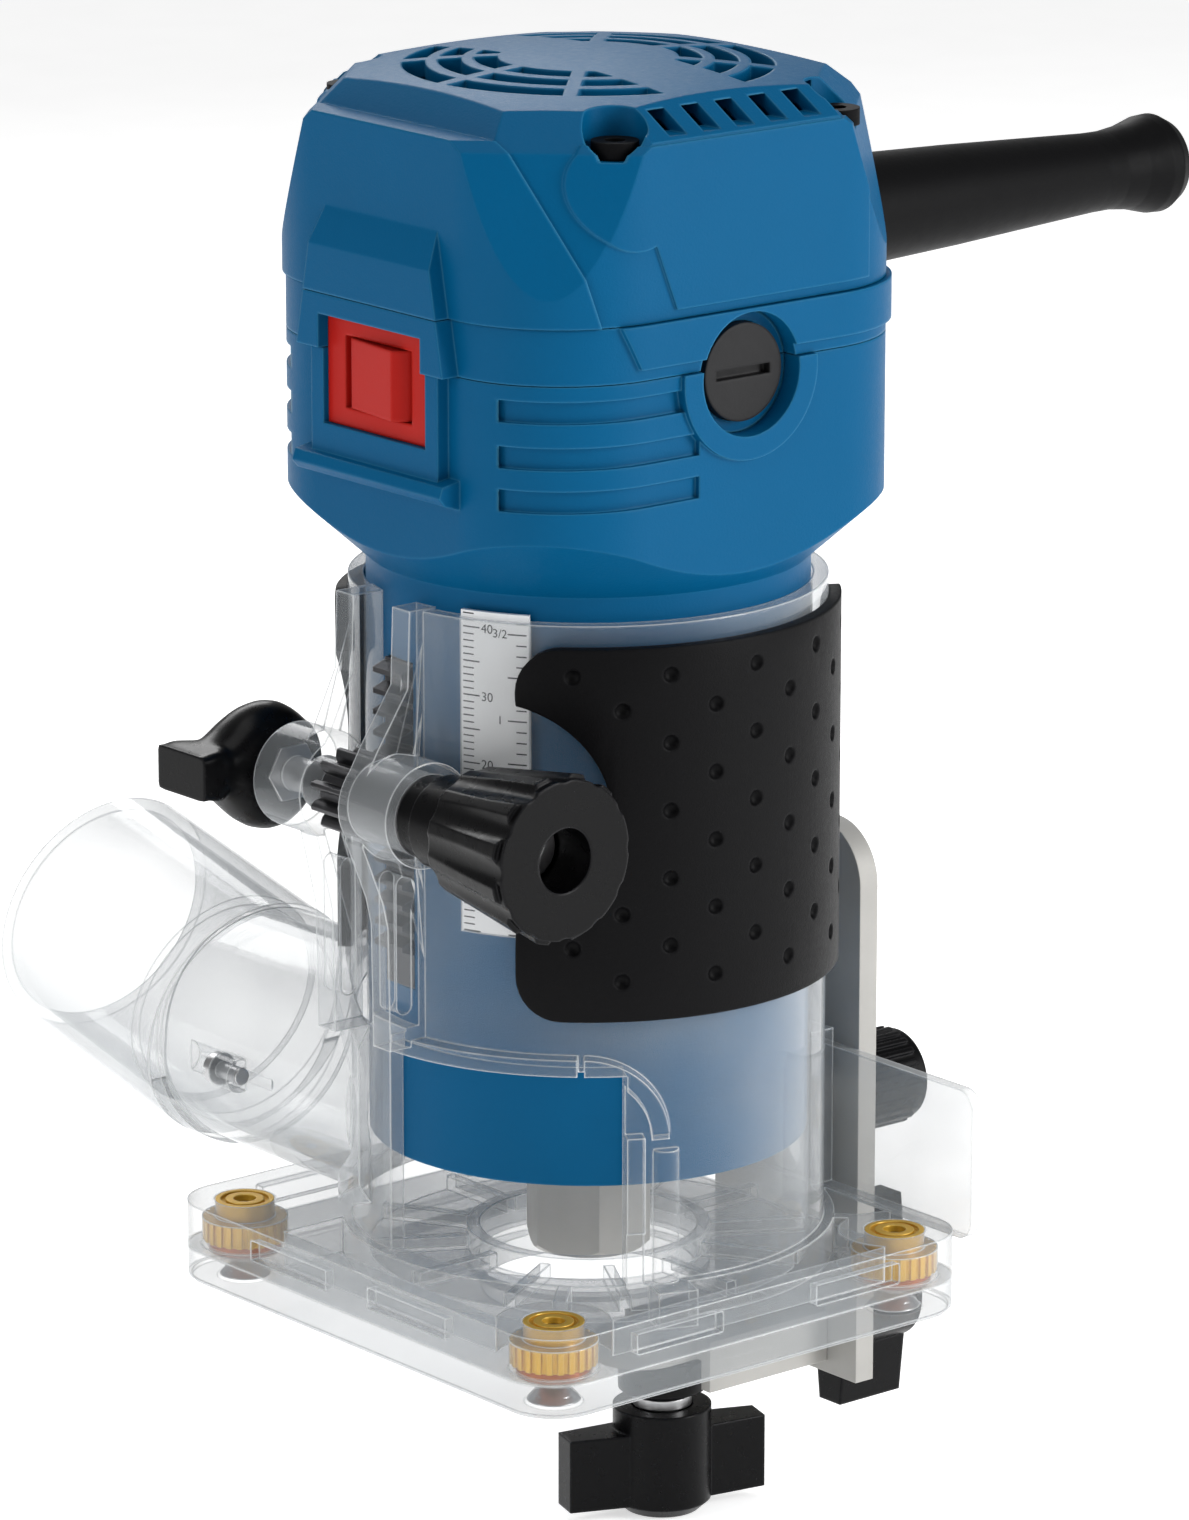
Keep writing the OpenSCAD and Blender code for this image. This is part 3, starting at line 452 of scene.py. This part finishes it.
# ---------------------------------------------------------------- depth scale
# White plate printed with millimetre ticks on one side and sixteenths of an
# inch on the other. The numbers beside them are a thin piece of their own.
def printed_scale():
    """Ticks lie between two angles, in degrees round the sleeve."""
    tick_base = 0.0635
    millimetre, sixteenth = 0.001, 0.0015875
    paint = Paint("printed_scale", IOR=1.5)
    z = paint.axis("Z")
    angle = paint.math("ARCTAN2", paint.axis("Y"), paint.axis("X")) * (180 / pi)

    def ticks(pitch, share, low, high):
        phase = paint.math("FRACT", (z - tick_base) / pitch)
        line = paint.math("LESS_THAN", phase, share)
        above, below = paint.math("GREATER_THAN", angle, low), paint.math("LESS_THAN", angle, high)
        return line * (above * below)

    ink = ticks(millimetre, 0.2, -161.4, -158.4)
    ink = paint.math("MAXIMUM", ink, ticks(0.005, 0.045, -161.4, -156.8))
    ink = paint.math("MAXIMUM", ink, ticks(sixteenth, 0.13, -147.2, -144.6))
    ink = paint.math("MAXIMUM", ink, ticks(0.00635, 0.035, -149.4, -144.6))
    paint.to("Base Color", paint.blend(ink, (0.95, 0.955, 0.96, 1), (0.02, 0.02, 0.02, 1)))
    paint.to("Roughness", 0.3 + paint.grain(900, 2) * 0.12)
    return paint


printed_scale().dress("scale_plate")


plate_face = 0.03388


def numeral(text, angle, height, size):
    """A raised-ink number that follows the plate, read from outside."""
    bpy.ops.object.select_all(action="DESELECT")
    bpy.ops.object.text_add()
    mark = bpy.context.object
    mark.data.body = text
    mark.data.size = size
    mark.data.align_x = mark.data.align_y = "CENTER"
    bpy.ops.object.convert(target="MESH")
    mark.location = (plate_face * cos(angle), plate_face * sin(angle), height)
    mark.rotation_euler = (pi / 2, 0, angle + pi / 2)
    bpy.ops.object.transform_apply(location=True, rotation=True, scale=True)
    return mark


metric_angle, inch_angle = radians(-154.8), radians(-151.4)
inch_heights = {"0": 0.0699, "1/2": 0.0826, "1": 0.0953, "3/2": 0.108}
marks = [numeral(str(10 * k), metric_angle, 0.0685 + 0.01 * k, 0.0019) for k in range(5)]
marks += [numeral(text, inch_angle, z, 0.0018) for text, z in inch_heights.items()]
for mark in marks:
    mark.select_set(True)
bpy.context.view_layer.objects.active = marks[0]
bpy.ops.object.join()
marks[0].name = "scale_numbers"
moulded("print_ink", (0.02, 0.02, 0.02, 1), (0.03, 0.03, 0.03, 1), 0.5, 900, 0.02).dress(marks[0])
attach(marks[0], "base")


# ---------------------------------------------------------------- metal pieces
# Turned and knurled brass, copper rings, blued grey guide steel and bright
# zinc-plated screws and shafts.
def metal(name, colour, painted_edge_glint, rough, scratch=700, stretch=(1, 1, 8), share=1.0):
    """Turned or drawn metal: lines along one axis, a darker cloud and a painted edge highlight."""
    cloud_shade, line_spread, edge_polish = 0.72, 0.18, 0.06
    paint = Paint(name, Metallic=share)
    edge = paint.edge(0.0004, 1.4)
    spot = paint.add("Mapping", {"Vector": paint.place(), "Scale": stretch})
    lines = paint.add("TexNoise", {"Vector": spot, "Scale": scratch, "Detail": 4.0})
    dark = tuple(c * cloud_shade for c in colour[:3]) + (1,)
    tone = paint.blend(paint.grain(90, 4), colour, dark)
    # Edges blend into the lighter colour: a painted highlight.
    paint.to("Base Color", paint.blend(edge, tone, painted_edge_glint))
    paint.to("Roughness", rough + lines * line_spread - edge * edge_polish)
    paint.relief(lines, 0.12, 0.0001, 0.0003)
    return paint


metal("turned_brass", (0.85, 0.5, 0.05, 1), (1.0, 0.78, 0.25, 1), 0.26, share=0.4).dress(
    "corner_nuts", "guide_insert", "brush_holders"
)
metal("copper", (0.5, 0.17, 0.07, 1), (0.8, 0.4, 0.22, 1), 0.3).dress(
    "seal_rings", "commutator", "field_windings", "rotor_windings"
)
metal(
    "guide_steel", (0.5, 0.49, 0.465, 1), (0.66, 0.65, 0.62, 1), 0.45, 900, (1, 1, 6), share=0.2
).dress("guide_plate", "guide_arm", "collet_nut")
metal("dark_steel", (0.09, 0.09, 0.095, 1), (0.4, 0.4, 0.4, 1), 0.35).dress("rack", "pinion_gear")
metal(
    "blackened_screw", (0.012, 0.012, 0.013, 1), (0.03, 0.03, 0.03, 1), 0.6
).dress("cover_screws")
metal("bright_zinc", (0.62, 0.62, 0.63, 1), (0.9, 0.9, 0.9, 1), 0.25).dress(
    "base_screws", "hood_screws", "clamp_bolt", "upper_bearing", "lower_bearing", "brush_springs",
    "spindle", "collet", "lever_nut", "roller_nut", "roller_stud", "arm_stud", "guide_knob_stud"
)
metal(
    "laminations", (0.3, 0.3, 0.31, 1), (0.6, 0.6, 0.6, 1), 0.4, 2500, (0.02, 0.02, 1)
).dress("stator_core", "rotor_core")

# ---------------------------------------------------------------- motor electrics
# Carbon brushes and the film capacitor inside the motor.
moulded(
    "carbon", (0.02, 0.02, 0.022, 1), (0.08, 0.08, 0.08, 1), 0.5, 1500, 0.3
).dress("carbon_brushes")
moulded(
    "film_case", (0.6, 0.42, 0.03, 1), (0.75, 0.6, 0.2, 1), 0.35, 900, 0.1
).dress("capacitor")

# ---------------------------------------------------------------- floor
# Pale floor that glows a little, so that it runs out into white.
ground = moulded("pale_floor", (0.86, 0.86, 0.86, 1), (0.9, 0.9, 0.9, 1), 0.7, 300, 0.02)
ground.shader.inputs["Emission Color"].default_value = (1, 1, 1, 1)
ground.shader.inputs["Emission Strength"].default_value = 0.62
ground.dress(floor)
